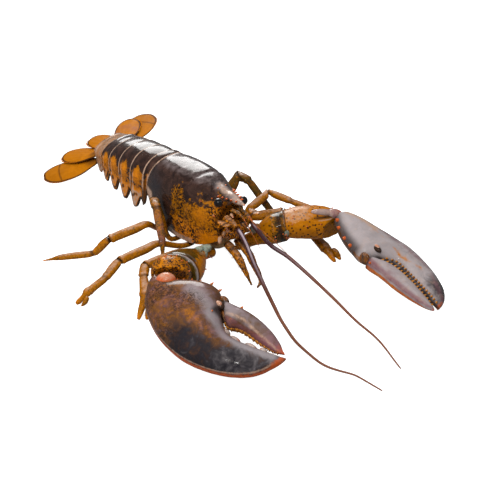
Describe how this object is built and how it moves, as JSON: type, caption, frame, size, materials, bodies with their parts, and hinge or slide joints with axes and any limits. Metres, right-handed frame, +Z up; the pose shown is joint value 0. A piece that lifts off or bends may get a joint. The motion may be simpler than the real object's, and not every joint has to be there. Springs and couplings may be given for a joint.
{
  "type": "european lobster",
  "caption": "Whole raw lobster on its walking legs, with a heavy crushing claw, a slimmer cutting claw, long feelers, jointed tail and spread tail fan.",
  "frame": {"origin": "middle of the whole animal's footprint, on the ground it stands on", "axes": "+Z up, -Y towards the head and claws, +X towards the animal's left"},
  "size_m": [0.2584, 0.481, 0.0804],
  "materials": {
    "shell_dark": "hard wet shell, near-black brown with ochre mottling on the flanks",
    "shell_ochre": "hard shell, ochre to olive with dark spots",
    "fan_amber": "thin horny blades, amber with a dark border and a fringe of hair",
    "claw_slate": "smooth wet shell, slate and brown with an orange-red rim",
    "feeler_plum": "ringed feelers, plum brown",
    "belly_pale": "soft pale underside",
    "eye_black": "glossy black"
  },
  "bodies": {
    "root": {"carapace": "shell_dark", "tail_ring_1": "shell_dark", "tail_ring_2": "shell_dark", "tail_ring_3": "shell_dark", "tail_ring_4": "shell_dark", "tail_ring_5": "shell_dark", "tail_ring_6": "shell_dark", "sternum": "belly_pale", "swimmerets_2": "belly_pale", "swimmerets_3": "belly_pale", "swimmerets_4": "belly_pale", "swimmerets_5": "belly_pale", "mouth_frame": "shell_ochre", "telson": "fan_amber", "uropod_right_inner": "fan_amber", "uropod_right_outer": "fan_amber", "uropod_left_inner": "fan_amber", "uropod_left_outer": "fan_amber", "crusher_arm": "shell_ochre", "crusher_wrist": "shell_ochre", "crusher_palm": "claw_slate", "crusher_finger": "claw_slate", "cutter_arm": "shell_ochre", "cutter_wrist": "shell_ochre", "cutter_palm": "claw_slate", "cutter_finger": "claw_slate", "leg_right_2_thigh": "shell_ochre", "leg_right_2_shin": "shell_ochre", "leg_right_2_finger": "shell_ochre", "leg_right_3_thigh": "shell_ochre", "leg_right_3_shin": "shell_ochre", "leg_right_3_finger": "shell_ochre", "leg_right_4_thigh": "shell_ochre", "leg_right_4_shin": "shell_ochre", "leg_right_5_thigh": "shell_ochre", "leg_right_5_shin": "shell_ochre", "antenna_base_right": "shell_ochre", "antennule_right": "shell_ochre", "antenna_scale_right": "shell_ochre", "jaw_leg_right": "shell_ochre", "antenna_right": "feeler_plum", "eye_right": "eye_black", "leg_left_2_thigh": "shell_ochre", "leg_left_2_shin": "shell_ochre", "leg_left_2_finger": "shell_ochre", "leg_left_3_thigh": "shell_ochre", "leg_left_3_shin": "shell_ochre", "leg_left_3_finger": "shell_ochre", "leg_left_4_thigh": "shell_ochre", "leg_left_4_shin": "shell_ochre", "leg_left_5_thigh": "shell_ochre", "leg_left_5_shin": "shell_ochre", "antenna_base_left": "shell_ochre", "antennule_left": "shell_ochre", "antenna_scale_left": "shell_ochre", "jaw_leg_left": "shell_ochre", "antenna_left": "feeler_plum", "eye_left": "eye_black"}
  },
  "joints": []
}
